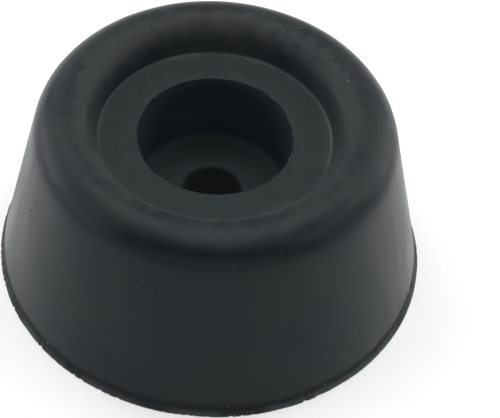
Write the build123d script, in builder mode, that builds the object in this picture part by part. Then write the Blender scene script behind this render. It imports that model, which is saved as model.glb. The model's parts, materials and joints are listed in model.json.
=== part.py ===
# Round screw-on foot, moulded in one piece from black rubber.
# Millimetres, +Z up. The origin is the centre of the flat base face, which is the face that is
# screwed against the furniture or case. The rounded crown at the top is what meets the floor.

from build123d import *
import os
from math import radians, tan

# Outside of the foot
base_diameter = 38.0
foot_height = 17.5
wall_angle = 11.2

# Flared lip that the mould leaves round the bottom edge
lip_height = 0.9
lip_flare = 0.3
lip_step = 0.2

# Recess inside the crown, down to the flat ledge round the pocket
ledge_diameter = 20.2
ledge_depth = 2.75
ledge_corner_radius = 0.3
recess_angle = 24.0

# Crown: it is round nearly all the way across, so its two roundings all but meet at the top
crown_outer_radius = 3.0
crown_inner_radius = 2.1
crown_rounded_share = 0.99

# Pocket that takes the screw head, down to the floor that the head clamps
pocket_diameter = 13.4
pocket_floor_thickness = 7.8
pocket_edge_chamfer = 0.15
pocket_corner_radius = 0.5

# Hole through the floor for the screw
hole_diameter = 5.3
hole_edge_chamfer = 0.3

# Radii and levels of the section
base_radius = base_diameter / 2
lip_top_radius = base_radius - lip_flare
wall_foot_radius = lip_top_radius - lip_step
ledge_radius = ledge_diameter / 2
ledge_height = foot_height - ledge_depth
pocket_radius = pocket_diameter / 2
hole_radius = hole_diameter / 2

# The tapered wall and the recess wall, each drawn up to the top plane of the foot
wall_lean = radians(wall_angle)
recess_lean = radians(recess_angle)
wall_top_radius = wall_foot_radius - (foot_height - lip_height) * tan(wall_lean)
recess_top_radius = ledge_radius + ledge_depth * tan(recess_lean)

# On a narrow crown both roundings shrink alike, so that they still fit side by side
crown_width = wall_top_radius - recess_top_radius
upright = radians(90)
outer_run = crown_outer_radius * tan((upright - wall_lean) / 2)
inner_run = crown_inner_radius * tan((upright - recess_lean) / 2)
crown_fit_share = min(1, crown_width * crown_rounded_share / (outer_run + inner_run))

# Half section: each corner with the radius that rounds it, 0 where it stays sharp
section_corners = [
    # Base face, lip and tapered wall
    ((hole_radius, 0), 0),
    ((base_radius, 0), 0),
    ((lip_top_radius, lip_height), 0),
    ((wall_foot_radius, lip_height), 0),
    # Rounded crown
    ((wall_top_radius, foot_height), crown_outer_radius * crown_fit_share),
    ((recess_top_radius, foot_height), crown_inner_radius * crown_fit_share),
    # Ledge and chamfered mouth of the pocket
    ((ledge_radius, ledge_height), ledge_corner_radius),
    ((pocket_radius + pocket_edge_chamfer, ledge_height), 0),
    ((pocket_radius, ledge_height - pocket_edge_chamfer), 0),
    # Floor of the pocket and chamfered edge of the screw hole
    ((pocket_radius, pocket_floor_thickness), pocket_corner_radius),
    ((hole_radius + hole_edge_chamfer, pocket_floor_thickness), 0),
    ((hole_radius, pocket_floor_thickness - hole_edge_chamfer), 0),
]

with BuildPart() as rubber_foot:
    with BuildSketch(Plane.XZ) as half_section:
        with BuildLine() as section_outline:
            FilletPolyline(
                [corner for corner, rounding in section_corners],
                radius=[rounding for corner, rounding in section_corners],
                close=True,
            )
        make_face()
    revolve(axis=Axis.Z)

os.makedirs("parts", exist_ok=True)
rubber_foot.part.label = "rubber_foot"
export_step(rubber_foot.part, "parts/rubber_foot.step")
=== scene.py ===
"""Looks of a round screw-on rubber foot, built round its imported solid."""

import json
import logging
import math
from dataclasses import dataclass, field
from enum import Enum
from typing import Any

import bpy
from mathutils import Matrix, Vector

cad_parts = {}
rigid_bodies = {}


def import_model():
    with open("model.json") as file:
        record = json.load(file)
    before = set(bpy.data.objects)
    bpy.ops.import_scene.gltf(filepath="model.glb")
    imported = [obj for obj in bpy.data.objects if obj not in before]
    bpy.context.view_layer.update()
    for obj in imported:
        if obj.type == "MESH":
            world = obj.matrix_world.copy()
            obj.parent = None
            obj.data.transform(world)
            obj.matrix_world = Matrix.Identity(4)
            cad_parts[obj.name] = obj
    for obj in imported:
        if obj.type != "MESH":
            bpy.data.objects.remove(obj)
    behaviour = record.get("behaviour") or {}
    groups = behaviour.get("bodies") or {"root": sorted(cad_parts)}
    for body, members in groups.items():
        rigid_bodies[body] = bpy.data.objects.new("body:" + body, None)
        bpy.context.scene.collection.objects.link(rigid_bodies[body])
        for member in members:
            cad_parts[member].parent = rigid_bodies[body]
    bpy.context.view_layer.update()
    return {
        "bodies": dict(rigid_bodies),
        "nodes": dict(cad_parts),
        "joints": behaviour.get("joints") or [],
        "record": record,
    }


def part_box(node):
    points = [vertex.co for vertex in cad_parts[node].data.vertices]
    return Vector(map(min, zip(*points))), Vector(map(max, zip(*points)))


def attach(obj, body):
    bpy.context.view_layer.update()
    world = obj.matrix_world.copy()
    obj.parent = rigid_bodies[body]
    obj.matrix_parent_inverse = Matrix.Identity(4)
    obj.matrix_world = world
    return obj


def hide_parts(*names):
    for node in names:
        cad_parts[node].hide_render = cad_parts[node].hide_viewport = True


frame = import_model()

MM = 0.001
NODE_NAME = "rubber_foot"
BODY_NAME = "root"
PHOTO_SIZE = (500, 418)

log = logging.getLogger("rubber_foot_scene")

Colour = tuple[float, float, float, float]
Triple = tuple[float, float, float]
Span = tuple[float, float]
Socket = bpy.types.NodeSocket

FADES_IN: Span = (0.0, 1.0)
FADES_OUT: Span = (1.0, 0.0)
NOISE_MIDDLE = 0.5
MASK_EDGE = 0.5
PLAIN_WHITE: Colour = (1.0, 1.0, 1.0, 1.0)


class Graph:
    """Adds nodes to a node tree and links them in one call each."""

    def __init__(self, tree: bpy.types.NodeTree) -> None:
        """Keeps the shader or geometry node tree that the nodes go into."""
        self.tree = tree

    def add(self, kind: str, inputs: dict[Any, Any] | None = None, **settings: Any) -> bpy.types.Node:
        """Adds one node, sets its options and fills or links its inputs.

        Args:
            kind: Blender's type name of the node.
            inputs: socket name or number, to a value or to the output socket to link.
            settings: attributes of the node, such as operation.

        Returns:
            The new node.
        """
        node = self.tree.nodes.new(kind)
        for name, value in settings.items():
            setattr(node, name, value)
        for key, value in (inputs or {}).items():
            if isinstance(value, Socket):
                self.tree.links.new(value, node.inputs[key])
            else:
                node.inputs[key].default_value = value
        return node

    def math(self, operation: str, *values: Any) -> Socket:
        """Adds a math node with its numbers or sockets in order."""
        return self.add("ShaderNodeMath", dict(enumerate(values)), operation=operation).outputs[0]

    def product(self, first: Any, *others: Any) -> Socket:
        """Multiplies numbers or sockets, one after the other.

        Args:
            first: number or socket.
            others: numbers or sockets that it is multiplied by.

        Returns:
            The result's socket.
        """
        result = first
        for other in others:
            result = self.math("MULTIPLY", result, other)
        return result

    def vector(self, operation: str, *values: Any) -> bpy.types.Node:
        """Adds a vector math node, whose result is a vector or a number."""
        return self.add("ShaderNodeVectorMath", dict(enumerate(values)), operation=operation)

    def scaled(self, direction: Any, length: Socket) -> Socket:
        """Multiplies a vector by a number."""
        node = self.add("ShaderNodeVectorMath", {0: direction, "Scale": length}, operation="SCALE")
        return node.outputs[0]

    def ramp(self, value: Any, low: float, high: float, start: float = 0.0, end: float = 1.0) -> Socket:
        """Adds a smooth step from one value to another.

        Args:
            value: number or socket that runs from low to high.
            low: where the step begins.
            high: where the step ends.
            start: result at and below low.
            end: result at and above high.

        Returns:
            The result's socket.
        """
        node = self.add(
            "ShaderNodeMapRange",
            {"Value": value, "From Min": low, "From Max": high, "To Min": start, "To Max": end},
            interpolation_type="SMOOTHSTEP",
        )
        return node.outputs["Result"]

    def noise(self, place: Socket, scale: float, detail: float) -> Socket:
        """Adds a cloudy noise, about 0.5 in the middle, that repeats scale times in a metre."""
        node = self.add("ShaderNodeTexNoise", {"Vector": place, "Scale": scale, "Detail": detail})
        return node.outputs[0]

    def between(self, share: Any, first: Any, second: Any) -> Socket:
        """Mixes two numbers, the first where the share is 0 and the second where it is 1."""
        return self.add("ShaderNodeMix", {0: share, 2: first, 3: second}, data_type="FLOAT").outputs[0]

    def blend(self, share: Any, first: Any, second: Any) -> Socket:
        """Mixes two colours, the first where the share is 0 and the second where it is 1."""
        return self.add("ShaderNodeMix", {0: share, 6: first, 7: second}, data_type="RGBA").outputs[2]

    def mask(self, name: str) -> Socket:
        """Reads a stored mask in a finish."""
        return self.add("ShaderNodeAttribute", attribute_name=name).outputs["Fac"]


@dataclass(frozen=True)
class Ripple:
    """A cloudy noise turned into a smooth step.

    Attributes:
        scale: how many times the noise repeats in a metre.
        detail: how many finer layers it has.
        low: noise at which the step begins.
        high: noise at which the step ends.
    """

    scale: float
    detail: float
    low: float
    high: float

    def over(self, graph: Graph, place: Socket, shares: Span = FADES_IN) -> Socket:
        """Adds the noise at a place and its step from one share to the other."""
        return graph.ramp(graph.noise(place, self.scale, self.detail), self.low, self.high, *shares)


class ShapeTree:
    """A geometry node tree with named inputs that turns one mesh into another."""

    def __init__(self, name: str) -> None:
        """Starts an empty tree.

        Args:
            name: the tree's name.
        """
        self.tree = bpy.data.node_groups.new(name, "GeometryNodeTree")
        self.values: dict[str, Any] = {}
        self.tree.interface.new_socket("Start", in_out="INPUT", socket_type="NodeSocketGeometry")

    def number(self, name: str, value: float) -> None:
        """Adds a named size."""
        socket = self.tree.interface.new_socket(name, in_out="INPUT", socket_type="NodeSocketFloat")
        self.values[socket.identifier] = value

    def count(self, name: str, value: int) -> None:
        """Adds a named whole number."""
        socket = self.tree.interface.new_socket(name, in_out="INPUT", socket_type="NodeSocketInt")
        self.values[socket.identifier] = value

    def start(self) -> tuple[Graph, Any]:
        """Ends the list of inputs.

        Returns:
            The graph that the nodes go into, and the sockets of the inputs by name.
        """
        self.tree.interface.new_socket("Result", in_out="OUTPUT", socket_type="NodeSocketGeometry")
        graph = Graph(self.tree)
        return graph, graph.add("NodeGroupInput").outputs

    def finish(
        self,
        geometry: Socket,
        material: bpy.types.Material,
        inner_material: bpy.types.Material | None = None,
        inner: Socket | None = None,
    ) -> None:
        """Ends the tree in a real mesh with its finish.

        Args:
            geometry: socket of what was built.
            material: its finish.
            inner_material: second finish, if it has one.
            inner: mask of the faces that get the second finish.
        """
        graph = Graph(self.tree)
        whole = graph.add("GeometryNodeRealizeInstances", {0: geometry})
        dressed = graph.add("GeometryNodeSetMaterial", {"Geometry": whole.outputs[0], "Material": material})
        if inner_material is not None and inner is not None:
            chosen = graph.math("GREATER_THAN", inner, MASK_EDGE)
            dressed = graph.add(
                "GeometryNodeSetMaterial",
                {"Geometry": dressed.outputs[0], "Selection": chosen, "Material": inner_material},
            )
        graph.add("NodeGroupOutput", {0: dressed.outputs[0]})

    def run(self, mesh: bpy.types.Mesh, name: str) -> bpy.types.Mesh:
        """Runs the tree on a mesh and keeps the result as a plain mesh.

        Args:
            mesh: what the tree starts from.
            name: name of the new mesh.

        Returns:
            The new mesh, with no modifier left.
        """
        carrier = bpy.data.objects.new(name + "_carrier", mesh)
        bpy.context.scene.collection.objects.link(carrier)
        modifier = carrier.modifiers.new("shape", "NODES")
        modifier.node_group = self.tree
        for identifier, value in self.values.items():
            modifier[identifier] = value
        bpy.context.view_layer.update()
        depsgraph = bpy.context.evaluated_depsgraph_get()
        result = bpy.data.meshes.new_from_object(carrier.evaluated_get(depsgraph), depsgraph=depsgraph)
        result.name = name
        carrier.modifiers.remove(modifier)
        bpy.data.objects.remove(carrier)
        return result


class Zone(Enum):
    """Stored masks that tell the finish which part of the moulding it is on."""

    CROWN = "crown_top"
    LEDGE = "ledge_top"
    FLOOR = "pocket_floor"
    EDGE = "painted_corner_highlights"
    HOLE = "screw_hole"
    LIP = "trimmed_lip"
    WALL = "tapered_wall"
    MOUTH = "pocket_mouth"


@dataclass
class SectionCorner:
    """One corner of the foot's half section.

    Attributes:
        radius: distance from the axis.
        height: level above the base face.
        rounding: radius that rounds the corner, 0 where it stays sharp.
    """

    radius: float
    height: float
    rounding: float = 0.0


@dataclass
class FootMoulding:
    """The rubber foot: a turned section with the small faults of a real moulding.

    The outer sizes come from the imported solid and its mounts. The others follow the solid's own values,
    in metres, with softer edges, a lip that slopes into the wall and a pocket that narrows a little to
    its floor. Two plain points of the section, a guard away from the lip and from the pocket's mouth,
    keep the ragged edges from reaching further. From plain_wall_height up the wall shows nothing of
    the lip.
    """

    base_radius: float
    height: float
    pocket_radius: float
    hole_radius: float
    wall_angle: float = math.radians(11.4)
    lip_height: float = 0.9 * MM
    lip_flare: float = 0.4 * MM
    lip_blend: float = 0.9 * MM
    lip_edge_height: float = 0.18 * MM
    lip_draft: float = 0.04 * MM
    lip_edge: float = 0.05 * MM
    base_edge: float = 0.05 * MM
    ledge_radius: float = 10.1 * MM
    ledge_depth: float = 2.75 * MM
    ledge_corner: float = 0.3 * MM
    recess_angle: float = math.radians(24.0)
    crown_outer: float = 3.0 * MM
    crown_inner: float = 2.1 * MM
    pocket_floor: float = 7.8 * MM
    mouth_flare: float = 0.08 * MM
    mouth_edge: float = 0.1 * MM
    pocket_draft: float = 0.15 * MM
    pocket_corner: float = 0.8 * MM
    hole_edge: float = 0.3 * MM
    guard: float = 0.45 * MM
    plain_wall_height: float = 2.7 * MM
    turns: int = 760
    arc_steps: int = 6
    longest_step: float = 1.2 * MM

    @classmethod
    def from_frame(cls, packed: dict[str, Any]) -> "FootMoulding":
        """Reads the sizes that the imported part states.


        Returns:
            The moulding with those sizes.
        """
        low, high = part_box(NODE_NAME)
        bores = {mount["name"]: mount["dims"] for mount in packed["record"]["mounts"]}
        return cls(
            base_radius=high.x,
            height=high.z - low.z,
            pocket_radius=bores["head_pocket"]["r_mm"] * MM,
            hole_radius=bores["screw_hole"]["r_mm"] * MM,
        )

    @property
    def ledge_height(self) -> float:
        """Level of the ledge above the base face."""
        return self.height - self.ledge_depth

    @property
    def wall_foot_radius(self) -> float:
        """Radius of the tapered wall where it meets the lip."""
        return self.base_radius - self.lip_flare

    @property
    def floor_radius(self) -> float:
        """Radius of the pocket at its floor."""
        return self.pocket_radius - self.pocket_draft

    def corners(self) -> list[SectionCorner]:
        """Works out the half section.

        Returns:
            The corners in order, from the hole's lower edge outwards and over the crown.
        """
        wall_foot = self.wall_foot_radius
        wall_top = wall_foot - (self.height - self.lip_height) * math.tan(self.wall_angle)
        recess_top = self.ledge_radius + self.ledge_depth * math.tan(self.recess_angle)
        return [
            SectionCorner(self.hole_radius, 0.0, self.base_edge),
            SectionCorner(self.base_radius, 0.0, self.base_edge),
            SectionCorner(self.base_radius - self.lip_draft, self.lip_edge_height, self.lip_edge),
            SectionCorner(wall_foot, self.lip_height, self.lip_blend),
            SectionCorner(wall_foot - self.guard * math.tan(self.wall_angle), self.lip_height + self.guard),
            SectionCorner(wall_top, self.height, self.crown_outer),
            SectionCorner(recess_top, self.height, self.crown_inner),
            SectionCorner(self.ledge_radius, self.ledge_height, self.ledge_corner),
            SectionCorner(self.pocket_radius + self.mouth_flare, self.ledge_height, self.mouth_edge),
            SectionCorner(self.pocket_radius, self.ledge_height - self.guard),
            SectionCorner(self.floor_radius, self.pocket_floor, self.pocket_corner),
            SectionCorner(self.hole_radius, self.pocket_floor, self.hole_edge),
        ]

    def section_mesh(self) -> bpy.types.Mesh:
        """Draws the sharp half section as a closed line.

        Returns:
            A mesh of edges in the XY plane, X outwards and Y up, with the rounding of each corner.
        """
        corners = self.corners()
        count = len(corners)
        mesh = bpy.data.meshes.new("foot_section")
        mesh.from_pydata(
            [(corner.radius, corner.height, 0.0) for corner in corners],
            [(index, (index + 1) % count) for index in range(count)],
            [],
        )
        rounding = mesh.attributes.new("rounding", "FLOAT", "POINT")
        rounding.data.foreach_set("value", [corner.rounding for corner in corners])
        return mesh

    def turning_tree(self, material: bpy.types.Material) -> ShapeTree:
        """Builds the node tree that rounds the section and turns it about the axis.

        Args:
            material: finish of the moulding.

        Returns:
            The tree with its inputs.
        """
        shape = ShapeTree("turn_foot_section")
        shape.number("Path radius", self.ledge_radius)
        shape.count("Turns", self.turns)
        shape.count("Arc steps", self.arc_steps)
        shape.number("Longest step", self.longest_step)
        graph, given = shape.start()
        outline = graph.add("GeometryNodeMeshToCurve", {0: given["Start"]})
        rounding = graph.add("GeometryNodeInputNamedAttribute", {"Name": "rounding"}, data_type="FLOAT")
        rounded = graph.add(
            "GeometryNodeFilletCurve",
            {
                "Curve": outline.outputs[0],
                "Radius": rounding.outputs["Attribute"],
                "Count": given["Arc steps"],
            },
            mode="POLY",
        )
        position = graph.add("GeometryNodeInputPosition").outputs[0]
        following = graph.add("GeometryNodeOffsetPointInCurve", {"Offset": 1}).outputs["Point Index"]
        next_position = graph.add(
            "GeometryNodeFieldAtIndex", {"Value": position, "Index": following}, data_type="FLOAT_VECTOR"
        )
        run = graph.vector("DISTANCE", position, next_position.outputs[0]).outputs["Value"]
        cuts = graph.math("FLOOR", graph.math("DIVIDE", run, given["Longest step"]))
        divided = graph.add("GeometryNodeSubdivideCurve", {"Curve": rounded.outputs[0], "Cuts": cuts})
        parts = graph.add("ShaderNodeSeparateXYZ", {0: position}).outputs
        outwards = graph.math("SUBTRACT", parts["X"], given["Path radius"])
        downwards = graph.math("MULTIPLY", parts["Y"], -1.0)
        beside_path = graph.add("ShaderNodeCombineXYZ", {"X": outwards, "Y": downwards})
        placed = graph.add(
            "GeometryNodeSetPosition", {"Geometry": divided.outputs[0], "Position": beside_path.outputs[0]}
        )
        path = graph.add(
            "GeometryNodeCurvePrimitiveCircle",
            {"Resolution": given["Turns"], "Radius": given["Path radius"]},
        )
        turned = graph.add(
            "GeometryNodeCurveToMesh", {"Curve": path.outputs[0], "Profile Curve": placed.outputs[0]}
        )
        outside = graph.add("GeometryNodeFlipFaces", {"Mesh": turned.outputs[0]})
        smooth = graph.add("GeometryNodeSetShadeSmooth", {"Geometry": outside.outputs[0]})
        shape.finish(smooth.outputs[0], material)
        return shape

    def build(self, material: bpy.types.Material, pocket_material: bpy.types.Material) -> bpy.types.Object:
        """Makes the moulding as a plain mesh that stands for the solid.

        Args:
            material: finish of the moulding.
            pocket_material: finish inside the pocket and the hole.

        Returns:
            The finished piece, riding on the part's body.
        """
        clean = self.turning_tree(material).run(self.section_mesh(), "clean_foot")
        mesh = MouldingFaults(self).tree(material, pocket_material).run(clean, "moulded_foot")
        piece = bpy.data.objects.new("moulded_foot", mesh)
        bpy.context.scene.collection.objects.link(piece)
        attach(piece, BODY_NAME)
        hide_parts(NODE_NAME)
        return piece


class Surface:
    """Fields of the moulding's surface: where a point lies and which way its face looks."""

    def __init__(self, graph: Graph) -> None:
        """Adds the nodes that read the surface.

        Args:
            graph: graph of the tree that works on the moulding.
        """
        self.graph = graph
        self.position = graph.add("GeometryNodeInputPosition").outputs[0]
        self.normal = graph.add("GeometryNodeInputNormal").outputs[0]
        self.flat = graph.vector("MULTIPLY", self.position, (1.0, 1.0, 0.0)).outputs[0]
        self.outward = graph.vector("NORMALIZE", self.flat).outputs[0]
        self.radius = graph.vector("LENGTH", self.flat).outputs["Value"]
        self.level = graph.add("ShaderNodeSeparateXYZ", {0: self.position}).outputs["Z"]
        self.facing_up = graph.add("ShaderNodeSeparateXYZ", {0: self.normal}).outputs["Z"]
        self.heading = graph.add("ShaderNodeSeparateXYZ", {0: self.outward}).outputs

    def towards(self, direction: Triple) -> Socket:
        """Tells how far a point lies on one side of the axis, 1 right on that side."""
        return self.graph.vector("DOT_PRODUCT", self.outward, direction).outputs["Value"]

    def facing(self, slopes: Span) -> Socket:
        """Tells how flat a face lies, from 0 at the first slope in degrees to 1 at the second."""
        steep, gentle = (math.cos(math.radians(slope)) for slope in slopes)
        return self.graph.ramp(self.facing_up, steep, gentle)

    def beyond(self, radius: float, span: Span, shares: Span = FADES_IN) -> Socket:
        """Adds a step along the radius, with its ends measured outwards from a radius."""
        return self.graph.ramp(self.radius, radius + span[0], radius + span[1], *shares)

    def above(self, level: float, span: Span, shares: Span = FADES_IN) -> Socket:
        """Adds a step along the height, with its ends measured upwards from a level."""
        return self.graph.ramp(self.level, level + span[0], level + span[1], *shares)

    def beside(self, radius: float, span: Span) -> Socket:
        """Adds a band along a circle about the axis, which fades from the first distance to the second."""
        gap = self.graph.math("ABSOLUTE", self.graph.math("SUBTRACT", self.radius, radius))
        return self.graph.ramp(gap, *span, *FADES_OUT)


@dataclass
class PaintedHighlightRing:
    """Painted highlight along one corner of the section.

    Attributes:
        radius: distance of the ring from the axis.
        height: its level above the base face.
        reach: how far from it the painted highlight ends.
        left_strength: how strong the painted highlight is at the foot's left.
        strength: how much there is elsewhere.
    """

    radius: float
    height: float
    reach: float
    left_strength: float
    strength: float


@dataclass
class FootZones:
    """Masks of the moulding's parts, for its finishes and for the specks on it.

    Pairs of slopes in degrees, of headings and of lengths are the two ends of a smooth step, and pairs of
    shares the mask there. A heading tells how far a point lies to one side of the axis, from -1 to 1. A
    length is measured outwards or upwards from the edge that it belongs to.

    Attributes:
        foot: the moulding that the masks are for.
        painted_highlights: directions from the axis to painted highlights in the crown and how pale they
            are.
    """

    foot: FootMoulding
    flat_slopes: Span = (34.0, 8.0)

    # Crown, from its foot above the ledge over its inner side to its outer side: dust on the flat top,
    # with painted light and shade from side to side and front to back, and painted highlights inside
    crown_foot: Span = (0.4 * MM, 1.3 * MM)
    crown_turn: Span = (2.0 * MM, 3.0 * MM)
    front_headings: Span = (-0.95, -0.4)
    inner_slopes: Span = (88.0, 20.0)
    inner_front_shares: Span = (0.55, 1.2)
    inner_side_headings: Span = (0.6, 0.98)
    inner_side_shares: Span = (1.08, 0.78)
    outer_front_shares: Span = (0.75, 1.0)
    outer_side_headings: Span = (0.5, 0.95)
    outer_side_shares: Span = (0.8, 0.42)
    painted_highlights: tuple[tuple[Triple, float], ...] = (((-0.87, 0.49, 0.0), 0.85), ((0.9, 0.44, 0.0), 0.35))
    painted_highlight_headings: Span = (0.9, 0.985)

    # Ledge, pocket with its ragged rim, and hole
    ledge_edge: Span = (0.0, 0.15 * MM)
    ledge_drop: Span = (-0.4 * MM, -0.1 * MM)
    inside_edge: Span = (0.3 * MM, 0.35 * MM)
    inside_drop: Span = (-0.1 * MM, -0.02 * MM)
    rim_width: Span = (0.12 * MM, 0.25 * MM)
    rim_drop: Span = (-0.3 * MM, -0.15 * MM)
    rim_headings: Span = (-0.7, 0.3)
    rim_shares: Span = (1.0, 0.12)
    hole_wall: Span = (0.01 * MM, 0.08 * MM)
    hole_foot: Span = (0.0, 3.0 * MM)

    # Lip, wall and painted highlight lines along the corners
    lip_wall: Span = (-0.6 * MM, -0.5 * MM)
    lip_foot: Span = (0.05 * MM, 0.15 * MM)
    lip_top: Span = (-0.27 * MM, 0.5 * MM)
    wall_top: Span = (3.5 * MM, 5.0 * MM)
    left_headings: Span = (-0.98, -0.7)
    full_highlight_share: float = 0.2

    def masks(self, surface: Surface, inside: Socket) -> dict[Zone, Socket]:
        """Works out the mask of every zone.

        Args:
            surface: fields of the moulding.
            inside: mask of the pocket and the hole.

        Returns:
            The masks' sockets by zone.
        """
        graph, foot = surface.graph, self.foot
        flat_top = surface.facing(self.flat_slopes)
        above_ledge = surface.above(foot.ledge_height, self.crown_foot)
        on_ledge = graph.product(
            surface.beyond(foot.pocket_radius, self.ledge_edge),
            surface.above(foot.ledge_height, self.ledge_drop),
            graph.math("SUBTRACT", 1.0, above_ledge),
        )
        lip_side = graph.product(
            surface.beyond(foot.wall_foot_radius, self.lip_wall), surface.above(0.0, self.lip_foot)
        )
        return {
            Zone.CROWN: graph.product(self.crown(surface, flat_top), above_ledge),
            Zone.LEDGE: graph.product(flat_top, on_ledge),
            Zone.FLOOR: graph.product(inside, flat_top),
            Zone.EDGE: self.painted_corner_highlights(surface),
            Zone.HOLE: graph.product(
                surface.beyond(foot.hole_radius, self.hole_wall, FADES_OUT),
                surface.above(0.0, self.hole_foot),
            ),
            Zone.LIP: graph.product(surface.above(foot.lip_height, self.lip_top, FADES_OUT), lip_side),
            Zone.WALL: graph.product(
                surface.beyond(foot.ledge_radius, self.wall_top),
                graph.ramp(surface.level, foot.lip_height, foot.plain_wall_height),
            ),
            Zone.MOUTH: graph.product(
                surface.beside(foot.pocket_radius, self.rim_width),
                surface.above(foot.ledge_height, self.rim_drop),
                graph.ramp(surface.heading["Y"], *self.rim_headings, *self.rim_shares),
            ),
        }

    def crown(self, surface: Surface, flat_top: Socket) -> Socket:
        """Works out how dull and pale the crown is: dust on its top, with painted light and shade from side
        to side and front to back, and painted highlights on its inner side.

        Args:
            surface: fields of the moulding.
            flat_top: mask of the flat faces.

        Returns:
            The mask's socket, before the crown's foot cuts it off.
        """
        graph = surface.graph
        across = graph.math("ABSOLUTE", surface.heading["X"])
        # paler is painted light: the inner side is painted darker towards the left and the right.
        paler = graph.ramp(across, *self.inner_side_headings, *self.inner_side_shares)
        # Painted highlights on the inner side, towards the back left and the back right.
        for direction, strength in self.painted_highlights:
            highlight = graph.ramp(surface.towards(direction), *self.painted_highlight_headings, 0.0, strength)
            paler = graph.math("ADD", paler, highlight)
        # The inner side is painted darker at the front than at the back: painted shade.
        inner_side = graph.product(
            surface.facing(self.inner_slopes),
            graph.ramp(surface.heading["Y"], *self.front_headings, *self.inner_front_shares),
            paler,
        )
        # Dust on the flat top, painted darker towards the left, the right and the front: painted shade.
        outer_side = graph.product(
            flat_top,
            graph.ramp(across, *self.outer_side_headings, *self.outer_side_shares),
            graph.ramp(surface.heading["Y"], *self.front_headings, *self.outer_front_shares),
        )
        past_top = surface.beyond(self.foot.ledge_radius, self.crown_turn)
        return graph.between(past_top, inner_side, outer_side)

    def inside(self, surface: Surface) -> Socket:
        """Works out the mask of the pocket and the hole.

        Args:
            surface: fields of the moulding.

        Returns:
            The mask's socket.
        """
        return surface.graph.product(
            surface.beyond(self.foot.pocket_radius, self.inside_edge, FADES_OUT),
            surface.above(self.foot.ledge_height, self.inside_drop, FADES_OUT),
        )

    def painted_corner_highlights(self, surface: Surface) -> Socket:
        """Works out the mask of the painted highlight lines along the corners.

        Args:
            surface: fields of the moulding.

        Returns:
            The mask's socket.
        """
        graph, foot = surface.graph, self.foot
        # Each ring is a thin painted highlight line: along the ledge's corner, the pocket floor's corner,
        # the hole's edge and the lip's edge.
        rings = (
            PaintedHighlightRing(foot.ledge_radius - 0.06 * MM, foot.ledge_height + 0.06 * MM, 0.22 * MM, 0.4, 1.0),
            PaintedHighlightRing(foot.floor_radius - 0.5 * MM, foot.pocket_floor + 0.06 * MM, 0.12 * MM, 0.8, 0.8),
            PaintedHighlightRing(foot.hole_radius + 0.16 * MM, foot.pocket_floor - 0.08 * MM, 0.2 * MM, 0.45, 0.45),
            PaintedHighlightRing(foot.base_radius - foot.lip_draft, foot.lip_edge_height, 0.06 * MM, 1.0, 1.0),
        )
        corners: Any = 0.0
        for ring in rings:
            outside = graph.math("SUBTRACT", surface.radius, ring.radius)
            higher = graph.math("SUBTRACT", surface.level, ring.height)
            away = graph.add("ShaderNodeCombineXYZ", {"X": outside, "Z": higher}).outputs[0]
            gap = graph.vector("LENGTH", away).outputs["Value"]
            # dust here is the ring's painted highlight, with its own strength at the foot's left.
            dust = graph.product(
                graph.ramp(gap, ring.reach * self.full_highlight_share, ring.reach, *FADES_OUT),
                graph.ramp(surface.heading["X"], *self.left_headings, ring.left_strength, ring.strength),
            )
            corners = graph.math("ADD", corners, dust)
        return corners


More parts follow.
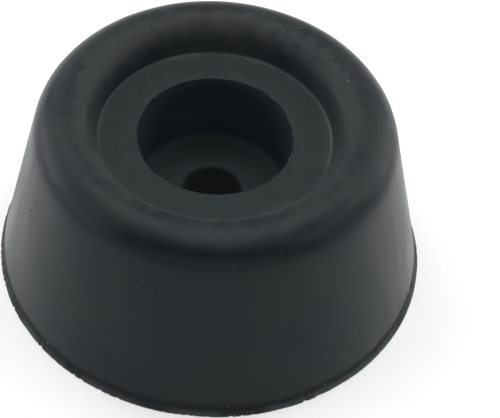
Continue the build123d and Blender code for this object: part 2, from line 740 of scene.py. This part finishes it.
@dataclass
class MouldingFaults:
    """What sets a real moulding apart from its drawing: core off the middle, ragged edges, slight waves.

    Pairs of lengths, headings and shares mean what they mean in FootZones. A noise is given by its scale
    and detail.

    Attributes:
        foot: the moulding that gets the faults.
        core_shift: how far the core that forms the recess, pocket and hole sits to the left.
        pin_shift: how far the pin that forms the pocket and hole sits towards the back.
        lean: how far the top sits to the left of the base.
        lip_cut: how deep the trimming cuts into the lip at most.
        trim_side_cut: how much more is trimmed off on the side of trim_side.
        trim_side: direction from the axis to that side.
        whole_side: direction from the axis to the side where the lip is left nearly whole.
        lip_drop: how far the lip's upper edge sinks at most.
        mouth_wander: how far the pocket's mouth leaves its circle at most.
        wall_wave: height of the upright waves in the wall.
        wide_wave: height of the wide waves over the whole foot.
    """

    foot: FootMoulding

    # Core, pin and lean
    core_shift: float = 0.1 * MM
    core_edge: Span = (1.7 * MM, 3.9 * MM)
    pin_shift: float = 0.2 * MM
    pin_margin: float = 1.0 * MM
    lean: float = 0.1 * MM

    # Trimmed lip
    lip_cut: float = 0.18 * MM
    cut_wall: Span = (-0.6 * MM, 0.1 * MM)
    cut_top: Span = (-0.54 * MM, 0.0)
    slow_cut: Ripple = Ripple(170.0, 2.0, 0.48, 0.75)
    slow_share: float = 0.55
    fine_cut: Ripple = Ripple(2800.0, 2.0, 0.5, 0.74)
    fine_share: float = 0.75
    trim_side_cut: float = 0.06 * MM
    trim_side: Triple = (-0.95, 0.31, 0.0)
    trim_headings: Span = (0.7, 0.98)
    whole_side: Triple = (0.9, -0.44, 0.0)
    whole_headings: Span = (0.85, 0.97)
    whole_shares: Span = (1.0, 0.2)

    # Sinking upper edge of the lip
    lip_drop: float = 0.2 * MM
    sinking: Ripple = Ripple(600.0, 3.0, 0.45, 0.75)
    drop_wall: Span = (-0.6 * MM, -0.3 * MM)
    drop_foot: Span = (-0.63 * MM, 0.0)
    drop_gap: float = 0.05 * MM

    # Wandering mouth of the pocket
    mouth_wander: float = 0.16 * MM
    mouth_noise: Span = (520.0, 4.0)
    mouth_gain: float = 3.0
    mouth_width: Span = (0.1 * MM, 0.6 * MM)
    mouth_gap: float = 0.15 * MM

    # Waves
    wall_wave: float = 0.013 * MM
    wall_noise: Span = (7.0, 2.0)
    wide_wave: float = 0.05 * MM
    wide_noise: Span = (110.0, 1.0)

    def tree(self, material: bpy.types.Material, pocket_material: bpy.types.Material) -> ShapeTree:
        """Builds the node tree that stores the masks of the zones and adds the faults.

        Args:
            material: finish of the moulding.
            pocket_material: finish inside the pocket and the hole.

        Returns:
            The tree with its inputs.
        """
        shape = ShapeTree("wear_foot")
        shape.number("Core shift", self.core_shift)
        shape.number("Pin shift", self.pin_shift)
        shape.number("Lip cut", self.lip_cut)
        shape.number("Lean", self.lean)
        shape.number("Trim side cut", self.trim_side_cut)
        shape.number("Lip drop", self.lip_drop)
        shape.number("Mouth wander", self.mouth_wander)
        shape.number("Wall wave", self.wall_wave)
        shape.number("Wide wave", self.wide_wave)
        graph, given = shape.start()
        surface = Surface(graph)
        zones = FootZones(self.foot)
        inside = zones.inside(surface)
        masks = zones.masks(surface, inside)
        geometry = given["Start"]
        for zone, mask in masks.items():
            stored = graph.add(
                "GeometryNodeStoreNamedAttribute",
                {"Geometry": geometry, "Name": zone.value, "Value": mask},
                data_type="FLOAT",
                domain="POINT",
            )
            geometry = stored.outputs[0]
        moved = self.shift(surface, given)
        moved = graph.vector("ADD", moved, self.ragged_edges(surface, given)).outputs[0]
        moved = graph.vector("ADD", moved, self.waves(surface, given, masks[Zone.WALL])).outputs[0]
        worn = graph.add("GeometryNodeSetPosition", {"Geometry": geometry, "Offset": moved})
        shape.finish(worn.outputs[0], material, pocket_material, inside)
        return shape

    def shift(self, surface: Surface, given: Any) -> Socket:
        """Works out the lean, the shift of the core and its pin, and the lip's sinking upper edge.

        Args:
            surface: fields of the moulding.
            given: the tree's inputs by name.

        Returns:
            The move's socket.
        """
        graph, foot = surface.graph, self.foot
        core = surface.beyond(foot.ledge_radius, self.core_edge, FADES_OUT)
        pin_end = foot.ledge_radius - self.pin_margin
        pin = graph.ramp(surface.radius, foot.pocket_radius + self.pin_margin, pin_end, *FADES_OUT)
        leaning = graph.ramp(surface.level, 0.0, foot.ledge_height, 0.0, -1.0)
        aside = graph.product(leaning, given["Lean"])
        aside = graph.math("SUBTRACT", aside, graph.product(core, given["Core shift"]))
        lip_edge = graph.product(
            surface.above(foot.lip_height, self.drop_foot),
            surface.above(foot.lip_height, (self.drop_gap, foot.guard), FADES_OUT),
            surface.beyond(foot.wall_foot_radius, self.drop_wall),
        )
        sink = graph.product(self.sinking.over(graph, surface.flat), lip_edge, given["Lip drop"], -1.0)
        backward = graph.product(pin, given["Pin shift"])
        return graph.add("ShaderNodeCombineXYZ", {"X": aside, "Y": backward, "Z": sink}).outputs[0]

    def ragged_edges(self, surface: Surface, given: Any) -> Socket:
        """Works out the moves along the radius: trimmed lip and wandering mouth of the pocket.

        Args:
            surface: fields of the moulding.
            given: the tree's inputs by name.

        Returns:
            The move's socket.
        """
        graph, foot = surface.graph, self.foot
        lip = graph.product(
            surface.above(foot.lip_height, self.cut_top, FADES_OUT),
            surface.beyond(foot.wall_foot_radius, self.cut_wall),
        )
        cut = graph.math(
            "ADD",
            graph.product(self.slow_cut.over(graph, surface.flat), self.slow_share),
            graph.product(self.fine_cut.over(graph, surface.flat), self.fine_share),
        )
        left_over = graph.ramp(surface.towards(self.whole_side), *self.whole_headings, *self.whole_shares)
        deeper = graph.ramp(surface.towards(self.trim_side), *self.trim_headings)
        side_cut = graph.product(deeper, given["Trim side cut"])
        cut = graph.math("MULTIPLY_ADD", graph.product(cut, left_over), given["Lip cut"], side_cut)
        mouth = graph.product(
            surface.beside(foot.pocket_radius, self.mouth_width),
            surface.above(foot.ledge_height, (-foot.guard, -self.mouth_gap)),
        )
        wander = graph.math("SUBTRACT", graph.noise(surface.position, *self.mouth_noise), NOISE_MIDDLE)
        wander = graph.product(wander, self.mouth_gain, given["Mouth wander"], mouth)
        return graph.scaled(surface.outward, graph.math("SUBTRACT", wander, graph.product(cut, lip)))

    def waves(self, surface: Surface, given: Any, wall: Socket) -> Socket:
        """Works out the moves along the surface's own direction: upright waves and wide ones.

        Args:
            surface: fields of the moulding.
            given: the tree's inputs by name.
            wall: mask of the tapered wall.

        Returns:
            The move's socket.
        """
        graph = surface.graph
        streaks = graph.math("SUBTRACT", graph.noise(surface.outward, *self.wall_noise), NOISE_MIDDLE)
        streaks = graph.product(streaks, wall, given["Wall wave"])
        above_lip = graph.ramp(surface.level, self.foot.lip_height, self.foot.plain_wall_height)
        swell = graph.math("SUBTRACT", graph.noise(surface.position, *self.wide_noise), NOISE_MIDDLE)
        swell = graph.product(swell, given["Wide wave"], above_lip)
        return graph.scaled(surface.normal, graph.math("ADD", streaks, swell))


class Speck(Enum):
    """Kinds of specks on the moulding."""

    DUST = "settled_dust"
    NIB = "moulding_nibs"
    CRUMB = "mouth_crumbs"


@dataclass
class SpeckScatter:
    """Specks of one kind, strewn over the moulding.

    Attributes:
        kind: dust, nibs or crumbs.
        densities: how many specks lie on a square metre of each zone.
        smallest: radius of the smallest speck.
        largest: radius of the largest speck.
        seed: fixed start of the random places.
        patches: where the specks lie closer together.
        patch_shares: how many there are between the patches and in them.
        proportions: a speck's three half axes, as shares of its radius.
    """

    kind: Speck
    densities: dict[Zone, float]
    smallest: float
    largest: float
    seed: int
    patches: Ripple = Ripple(90.0, 2.0, 0.35, 0.65)
    patch_shares: Span = (0.3, 1.7)
    proportions: Triple = (1.0, 0.8, 0.6)

    def tree(self, material: bpy.types.Material) -> ShapeTree:
        """Builds the node tree that strews the specks.

        Args:
            material: finish of the specks.

        Returns:
            The tree with its inputs.
        """
        shape = ShapeTree("strew_" + self.kind.value)
        shape.number("Smallest", self.smallest)
        shape.number("Largest", self.largest)
        shape.count("Seed", self.seed)
        graph, given = shape.start()
        density: Any = 0.0
        for zone, count in self.densities.items():
            mask = graph.add("GeometryNodeInputNamedAttribute", {"Name": zone.value}, data_type="FLOAT")
            density = graph.math("MULTIPLY_ADD", mask.outputs["Attribute"], count, density)
        position = graph.add("GeometryNodeInputPosition").outputs[0]
        density = graph.product(density, self.patches.over(graph, position, self.patch_shares))
        points = graph.add(
            "GeometryNodeDistributePointsOnFaces",
            {"Mesh": given["Start"], "Density": density, "Seed": given["Seed"]},
        )
        grain = graph.add("GeometryNodeMeshIcoSphere", {"Radius": 1.0, "Subdivisions": 1})
        size = graph.add(
            "FunctionNodeRandomValue",
            {2: given["Smallest"], 3: given["Largest"], "Seed": given["Seed"]},
            data_type="FLOAT",
        ).outputs[1]
        strewn = graph.add(
            "GeometryNodeInstanceOnPoints",
            {
                "Points": points.outputs["Points"],
                "Instance": grain.outputs["Mesh"],
                "Rotation": points.outputs["Rotation"],
                "Scale": graph.scaled(self.proportions, size),
            },
        )
        shape.finish(strewn.outputs[0], material)
        return shape

    def build(self, moulding: bpy.types.Object, material: bpy.types.Material) -> bpy.types.Object:
        """Makes the specks as one plain mesh.

        Args:
            moulding: the piece that they lie on.
            material: finish of the specks.

        Returns:
            The finished piece, riding on the part's body.
        """
        mesh = self.tree(material).run(moulding.data, self.kind.value)
        piece = bpy.data.objects.new(self.kind.value, mesh)
        bpy.context.scene.collection.objects.link(piece)
        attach(piece, BODY_NAME)
        return piece


class Finish:
    """A material with the standard shader, ready for its nodes."""

    def __init__(self, name: str, values: dict[str, Any]) -> None:
        """Starts the material.

        Args:
            name: the material's name.
            values: constant values of the shader's inputs, by name.
        """
        self.material = bpy.data.materials.new(name)
        self.material.use_nodes = True
        self.inputs = self.material.node_tree.nodes["Principled BSDF"].inputs
        for key, value in values.items():
            self.inputs[key].default_value = value
        self.graph = Graph(self.material.node_tree)
        self.place = self.graph.add("ShaderNodeTexCoord").outputs["Object"]

    def feed(self, name: str, socket: Socket) -> None:
        """Links one of the shader's inputs."""
        self.graph.tree.links.new(socket, self.inputs[name])

    def relief(self, strength: Any, depth: float, height: Socket) -> None:
        """Adds a relief, of which more or less shows, with its depth and its height of about 0 to 1."""
        bump = self.graph.add("ShaderNodeBump", {"Strength": strength, "Distance": depth, "Height": height})
        self.feed("Normal", bump.outputs[0])


@dataclass(frozen=True)
class DustFinish:
    """Pale dry dust, a little lighter on some specks than on others."""

    dark: Colour = (0.07, 0.07, 0.068, 1.0)
    pale: Colour = (0.24, 0.24, 0.23, 1.0)
    clouds: Ripple = Ripple(700.0, 2.0, 0.35, 0.65)
    gloss: float = 0.1
    roughness: float = 0.9

    def material(self) -> bpy.types.Material:
        """Builds the dust's material.

        Returns:
            The material.
        """
        finish = Finish("pale_dust", {"Roughness": self.roughness, "Specular IOR Level": self.gloss})
        share = self.clouds.over(finish.graph, finish.place)
        finish.feed("Base Color", finish.graph.blend(share, self.dark, self.pale))
        return finish.material


@dataclass(frozen=True)
class RubberFinish:
    """Black moulded rubber: a smooth dark wall, a duller top that dust and painted light make lighter,
    painted highlight lines along the corners and a raw trimmed lip.

    A noise is given by its scale and detail. Pairs of ends are the noise at which a step begins and ends,
    and pairs of shares what the step makes of a zone's mask.
    """

    wall: Colour = (0.0036, 0.0066, 0.0088, 1.0)
    wall_cloud: Colour = (0.0056, 0.0090, 0.0098, 1.0)
    # Lighter colour of the crown: dust, and through the crown's mask painted light and highlights.
    crown: Colour = (0.0256, 0.0278, 0.0286, 1.0)
    ledge: Colour = (0.0142, 0.0184, 0.0192, 1.0)
    # Painted highlight along the corners.
    corner: Colour = (0.0440, 0.0500, 0.0510, 1.0)
    lip: Colour = (0.0030, 0.0040, 0.0042, 1.0)
    gloss: float = 0.165
    gloss_tint: Colour = (0.88, 0.98, 1.0, 1.0)
    sheen: float = 0.1
    sheen_roughness: float = 0.4
    sheen_tint: Colour = (0.92, 0.99, 1.0, 1.0)
    wall_roughness: Span = (0.29, 0.39)
    ledge_roughness: float = 0.5
    dull_roughness: float = 0.6

    # Noises and what they make of the zones
    mottle: Span = (750.0, 4.0)
    cloud: Span = (170.0, 3.0)
    streak: Span = (420.0, 2.0)
    streak_stretch: Triple = (1.0, 1.0, 0.15)
    grain: Span = (4200.0, 3.0)
    usual_ends: Span = (0.3, 0.7)
    wall_ends: Span = (0.35, 0.65)
    crown_mottle_shares: Span = (0.44, 0.92)
    crown_grain_shares: Span = (-0.16, 0.16)
    crown_cloud_shares: Span = (-0.16, 0.2)
    ledge_shares: Span = (0.7, 1.08)
    lip_ends: Span = (0.3, 0.6)
    lip_shares: Span = (0.7, 1.0)
    corner_highlight_ends: Span = (0.4, 0.6)
    corner_highlight_shares: Span = (0.25, 1.0)

    # Relief
    relief_depth: float = 0.04 * MM
    mottle_height: float = 0.6
    grain_height: float = 0.4
    wall_relief: float = 0.12
    crown_relief: float = 0.6
    lip_relief: float = 1.0
    lip_gain: float = 3.5

    def material(self) -> bpy.types.Material:
        """Builds the rubber's material.

        Returns:
            The material, which reads the masks that the moulding stores.
        """
        finish = Finish(
            "black_rubber",
            {
                "Specular IOR Level": self.gloss,
                "Specular Tint": self.gloss_tint,
                "Sheen Weight": self.sheen,
                "Sheen Roughness": self.sheen_roughness,
                "Sheen Tint": self.sheen_tint,
            },
        )
        graph, place = finish.graph, finish.place
        upright = graph.add("ShaderNodeMapping", {"Vector": place, "Scale": self.streak_stretch}).outputs[0]
        mottle = graph.noise(place, *self.mottle)
        cloud = graph.noise(place, *self.cloud)
        streak = graph.noise(upright, *self.streak)
        grain = graph.noise(place, *self.grain)
        crown = graph.mask(Zone.CROWN.value)
        ledge = graph.mask(Zone.LEDGE.value)
        corner = graph.mask(Zone.EDGE.value)
        lip = graph.mask(Zone.LIP.value)

        # Colour and roughness: the wall first, then what lies over it from zone to zone
        blotch: Any = graph.ramp(mottle, *self.usual_ends, *self.crown_mottle_shares)
        for noise, shares in ((grain, self.crown_grain_shares), (cloud, self.crown_cloud_shares)):
            blotch = graph.math("ADD", blotch, graph.ramp(noise, *self.usual_ends, *shares))
        # Dust with painted light, shade and highlights, as the crown's mask gives them.
        crown_share = graph.product(crown, blotch)
        ledge_share = graph.product(ledge, graph.ramp(mottle, *self.usual_ends, *self.ledge_shares))
        lip_share = graph.product(lip, graph.ramp(mottle, *self.lip_ends, *self.lip_shares))
        # Painted highlight lines along the corners.
        corner_highlight_share = graph.product(corner, graph.ramp(cloud, *self.corner_highlight_ends, *self.corner_highlight_shares))
        colour: Any = graph.blend(graph.ramp(cloud, *self.wall_ends), self.wall, self.wall_cloud)
        roughness: Any = graph.ramp(streak, *self.usual_ends, *self.wall_roughness)
        for share, tint, rough in (
            (crown_share, self.crown, self.dull_roughness),
            (ledge_share, self.ledge, self.ledge_roughness),
            (lip_share, self.lip, self.dull_roughness),
            (corner_highlight_share, self.corner, self.dull_roughness),
        ):
            colour = graph.blend(share, colour, tint)
            roughness = graph.between(share, roughness, rough)
        finish.feed("Base Color", colour)
        finish.feed("Roughness", roughness)

        # Relief: fine grain everywhere, stronger on the crown and roughest on the lip
        height = graph.math(
            "ADD", graph.product(mottle, self.mottle_height), graph.product(grain, self.grain_height)
        )
        strength = graph.between(crown, self.wall_relief, self.crown_relief)
        strength = graph.between(lip, strength, self.lip_relief)
        height = graph.product(height, graph.between(lip, 1.0, self.lip_gain))
        finish.relief(strength, self.relief_depth, height)
        return finish.material


@dataclass(frozen=True)
class PocketFinish:
    """Dull rubber in the pocket and the hole, with dust on the floor and painted light low on the wall,
    in the hole and as painted highlight lines in the corners.

    The painted light on the wall begins, is full and ends at the three painted_light_levels, and it fades
    from the middle to the sides between the two painted_light_sides. Noises, ends and shares are as in
    RubberFinish.
    """

    wall: Colour = (0.0190, 0.0252, 0.0298, 1.0)
    painted_light_wall: Colour = (0.0400, 0.0530, 0.0625, 1.0)
    floor: Colour = (0.0185, 0.0235, 0.0245, 1.0)
    # Painted highlight along the floor's corner and the hole's edge.
    corner: Colour = (0.0300, 0.0350, 0.0360, 1.0)
    # Painted light: the hole is painted well lighter than the pocket's wall, deep in its shade.
    hole: Colour = (0.0480, 0.0600, 0.0620, 1.0)
    painted_light_levels: Triple = (8.0 * MM, 8.9 * MM, 13.5 * MM)
    painted_light_sides: Span = (2.0 * MM, 5.5 * MM)
    painted_light_side_shares: Span = (1.0, 0.2)
    mottle: Span = (500.0, 4.0)
    floor_ends: Span = (0.3, 0.7)
    floor_shares: Span = (0.75, 1.0)
    corner_highlight_ends: Span = (0.35, 0.65)
    corner_highlight_shares: Span = (0.3, 1.0)
    grain: Span = (3600.0, 3.0)
    relief: float = 0.3
    relief_depth: float = 0.03 * MM
    gloss: float = 0.12
    roughness: float = 0.6

    def material(self) -> bpy.types.Material:
        """Builds the pocket's material.

        Returns:
            The material, which reads the masks that the moulding stores.
        """
        finish = Finish("pocket_rubber", {"Specular IOR Level": self.gloss, "Roughness": self.roughness})
        graph = finish.graph
        mottle = graph.noise(finish.place, *self.mottle)
        parts = graph.add("ShaderNodeSeparateXYZ", {0: finish.place}).outputs
        low, middle, high = self.painted_light_levels
        # deep is painted light: the wall is painted lighter low in the pocket, where its shade is darkest,
        # and less so towards the sides, which the lamps light.
        deep = graph.product(
            graph.ramp(parts["Z"], low, middle),
            graph.ramp(parts["Z"], middle, high, *FADES_OUT),
            graph.ramp(graph.math("ABSOLUTE", parts["X"]), *self.painted_light_sides, *self.painted_light_side_shares),
        )
        film = graph.ramp(mottle, *self.floor_ends, *self.floor_shares)
        line = graph.ramp(mottle, *self.corner_highlight_ends, *self.corner_highlight_shares)
        colour = graph.blend(deep, self.wall, self.painted_light_wall)
        colour = graph.blend(graph.product(graph.mask(Zone.FLOOR.value), film), colour, self.floor)
        # Painted highlight lines along the floor's corner and the hole's edge.
        colour = graph.blend(graph.product(graph.mask(Zone.EDGE.value), line), colour, self.corner)
        # Painted light in the hole's shade.
        colour = graph.blend(graph.mask(Zone.HOLE.value), colour, self.hole)
        finish.feed("Base Color", colour)
        finish.relief(self.relief, self.relief_depth, graph.noise(finish.place, *self.grain))
        return finish.material


@dataclass(frozen=True)
class FloorFinish:
    """Matte white studio floor that keeps the foot's soft shadow."""

    colour: Colour = (0.93, 0.93, 0.93, 1.0)
    glow: float = 0.3

    def material(self) -> bpy.types.Material:
        """Builds the floor's material.

        Returns:
            The material: a matte white that what looks at it sees lifted a little towards plain white.
        """
        made = bpy.data.materials.new("studio_white")
        made.use_nodes = True
        made.node_tree.nodes.clear()
        graph = Graph(made.node_tree)
        matte = graph.add("ShaderNodeBsdfDiffuse", {"Color": self.colour})
        white = graph.add("ShaderNodeEmission", {"Strength": 1.0})
        rays = graph.add("ShaderNodeLightPath").outputs
        seen = graph.math("MAXIMUM", rays["Is Camera Ray"], rays["Is Glossy Ray"])
        seen = graph.math("MAXIMUM", seen, rays["Is Transmission Ray"])
        share = graph.math("MULTIPLY", seen, self.glow)
        mixed = graph.add("ShaderNodeMixShader", {0: share, 1: matte.outputs[0], 2: white.outputs[0]})
        graph.add("ShaderNodeOutputMaterial", {"Surface": mixed.outputs[0]})
        return made


@dataclass
class SoftBox:
    """One soft rectangular studio lamp that faces the foot.

    Attributes:
        name: the lamp's name.
        bearing: angle round the foot in degrees, 0 in front, 90 on the right and 180 behind.
        elevation: angle above the floor in degrees.
        size: width and height of its face.
        brightness: how bright its face looks, where 1 is plain white.
        distance: how far the lamp stands from the foot.
    """

    name: str
    bearing: float
    elevation: float
    size: Span
    brightness: float
    distance: float = 0.6

    def build(self, target: Vector) -> bpy.types.Object:
        """Makes the lamp.

        Args:
            target: point that it faces.

        Returns:
            The lamp's object.
        """
        data = bpy.data.lights.new(self.name, "AREA")
        data.shape = "RECTANGLE"
        data.size, data.size_y = self.size
        data.energy = self.brightness * math.pi * self.size[0] * self.size[1]
        bearing, elevation = math.radians(self.bearing), math.radians(self.elevation)
        towards = Vector(
            (
                math.sin(bearing) * math.cos(elevation),
                -math.cos(bearing) * math.cos(elevation),
                math.sin(elevation),
            )
        )
        lamp = bpy.data.objects.new(self.name, data)
        lamp.location = target + towards * self.distance
        lamp.rotation_euler = (-towards).to_track_quat("-Z", "Y").to_euler()
        bpy.context.scene.collection.objects.link(lamp)
        return lamp


@dataclass
class Studio:
    """White floor, soft lamps all round and an even grey dome."""

    finish: FloorFinish = field(default_factory=FloorFinish)
    floor_side: float = 4.0
    floor_gap: float = 0.02 * MM
    dome: float = 0.17
    lamps: tuple[SoftBox, ...] = (
        SoftBox("left_lower_softbox", 250.0, 12.0, (0.40, 0.28), 3.4),
        SoftBox("left_upper_softbox", 245.0, 38.0, (0.40, 0.28), 2.0),
        SoftBox("left_side_lower_panel", 285.0, 12.0, (0.30, 0.28), 1.95),
        SoftBox("left_side_upper_panel", 285.0, 38.0, (0.30, 0.28), 1.2),
        SoftBox("right_lower_softbox", 118.0, 12.0, (0.40, 0.28), 2.8),
        SoftBox("right_upper_softbox", 118.0, 38.0, (0.40, 0.28), 2.65),
        SoftBox("right_side_lower_panel", 75.0, 12.0, (0.30, 0.28), 1.0),
        SoftBox("right_side_upper_panel", 75.0, 38.0, (0.30, 0.28), 1.7),
        SoftBox("back_left_panel", 213.0, 30.0, (0.25, 0.50), 1.3),
        SoftBox("back_right_panel", 150.0, 30.0, (0.25, 0.50), 0.8),
        SoftBox("back_top_softbox", 180.0, 67.0, (0.60, 0.22), 2.8),
        SoftBox("top_softbox", 0.0, 90.0, (0.30, 0.30), 2.6),
        SoftBox("left_top_panel", 250.0, 65.0, (0.40, 0.22), 0.7),
        SoftBox("front_top_panel", 0.0, 67.0, (0.60, 0.22), 0.5),
        SoftBox("front_lower_panel", 0.0, 15.0, (1.10, 0.28), 0.8),
    )

    def build(self, target: Vector) -> None:
        """Makes the floor, the lamps and the dome.

        Args:
            target: point that the lamps face.
        """
        half = self.floor_side / 2
        mesh = bpy.data.meshes.new("studio_floor")
        mesh.from_pydata(
            [(x * half, y * half, -self.floor_gap) for x, y in ((-1, -1), (1, -1), (1, 1), (-1, 1))],
            [],
            [(0, 1, 2, 3)],
        )
        mesh.materials.append(self.finish.material())
        floor = bpy.data.objects.new("studio_floor", mesh)
        bpy.context.scene.collection.objects.link(floor)
        for lamp in self.lamps:
            lamp.build(target)
        bpy.context.scene.world = self.surroundings()

    def surroundings(self) -> bpy.types.World:
        """Builds the even dome.

        Returns:
            The world.
        """
        world = bpy.data.worlds.new("even_dome")
        world.use_nodes = True
        background = world.node_tree.nodes["Background"]
        background.inputs["Color"].default_value = PLAIN_WHITE
        background.inputs["Strength"].default_value = self.dome
        return world


@dataclass
class PhotoCamera:
    """Camera at the photograph's place: distance, height and the pixel that it looks at."""

    target_height: float = 8.0 * MM
    distance: float = 190.0 * MM
    elevation: float = math.radians(48.494)
    roll: float = math.radians(-3.884)
    focal_pixels: float = 2149.5
    target_pixel: Span = (213.8, 188.8)
    sensor_width: float = 36.0
    clip_start: float = 9.5 * MM

    def build(self) -> bpy.types.Object:
        """Makes the camera and sets it as the scene's own.

        Returns:
            The camera's object.
        """
        wide, high = PHOTO_SIZE
        target = Vector((0.0, 0.0, self.target_height))
        back = Vector((0.0, -math.cos(self.elevation), math.sin(self.elevation)))
        right = Vector((1.0, 0.0, 0.0))
        up = back.cross(right)
        forward = -back
        cos_roll, sin_roll = math.cos(self.roll), math.sin(self.roll)
        right, up = right * cos_roll - up * sin_roll, right * sin_roll + up * cos_roll
        aside = self.target_pixel[0] - wide / 2
        below = self.target_pixel[1] - high / 2
        pan = math.atan2(aside, self.focal_pixels)
        tilt = math.atan2(below, math.hypot(self.focal_pixels, aside))
        right, forward = (
            right * math.cos(pan) + forward * math.sin(pan),
            forward * math.cos(pan) - right * math.sin(pan),
        )
        up, forward = (
            up * math.cos(tilt) - forward * math.sin(tilt),
            forward * math.cos(tilt) + up * math.sin(tilt),
        )
        data = bpy.data.cameras.new("photo_camera")
        data.sensor_width = self.sensor_width
        data.lens = self.focal_pixels * self.sensor_width / wide
        data.clip_start = self.clip_start
        camera = bpy.data.objects.new("photo_camera", data)
        turn = Matrix((right, up, -forward)).transposed().to_4x4()
        camera.matrix_world = Matrix.Translation(target + back * self.distance) @ turn
        bpy.context.scene.collection.objects.link(camera)
        bpy.context.scene.camera = camera
        return camera


def main() -> None:
    """Builds the foot, the studio and the camera, in that order."""
    logging.basicConfig(level=logging.INFO)
    bpy.context.scene.view_settings.view_transform = "Standard"
    foot = FootMoulding.from_frame(frame)
    rubber = RubberFinish().material()
    moulding = foot.build(rubber, PocketFinish().material())
    dust = SpeckScatter(
        Speck.DUST,
        {
            Zone.CROWN: 4.4e5,
            Zone.LEDGE: 6.0e4,
            Zone.WALL: 5.5e4,
            Zone.LIP: 9.0e5,
            Zone.HOLE: 1.2e6,
            Zone.MOUTH: 1.6e6,
        },
        smallest=0.022 * MM,
        largest=0.07 * MM,
        seed=7,
    )
    nibs = SpeckScatter(
        Speck.NIB,
        {Zone.CROWN: 1.2e5, Zone.LEDGE: 6.0e4, Zone.WALL: 4.0e4, Zone.LIP: 1.3e6},
        smallest=0.04 * MM,
        largest=0.09 * MM,
        seed=3,
    )
    crumbs = SpeckScatter(
        Speck.CRUMB, {Zone.MOUTH: 5.0e6}, smallest=0.05 * MM, largest=0.13 * MM, seed=5
    )
    pieces = [
        moulding,
        dust.build(moulding, DustFinish().material()),
        nibs.build(moulding, rubber),
        crumbs.build(moulding, rubber),
    ]
    for piece in pieces:
        log.info("%s: %d faces", piece.name, len(piece.data.polygons))
    Studio().build(Vector((0.0, 0.0, foot.height / 2)))
    PhotoCamera().build()


if __name__ == "__main__":
    main()
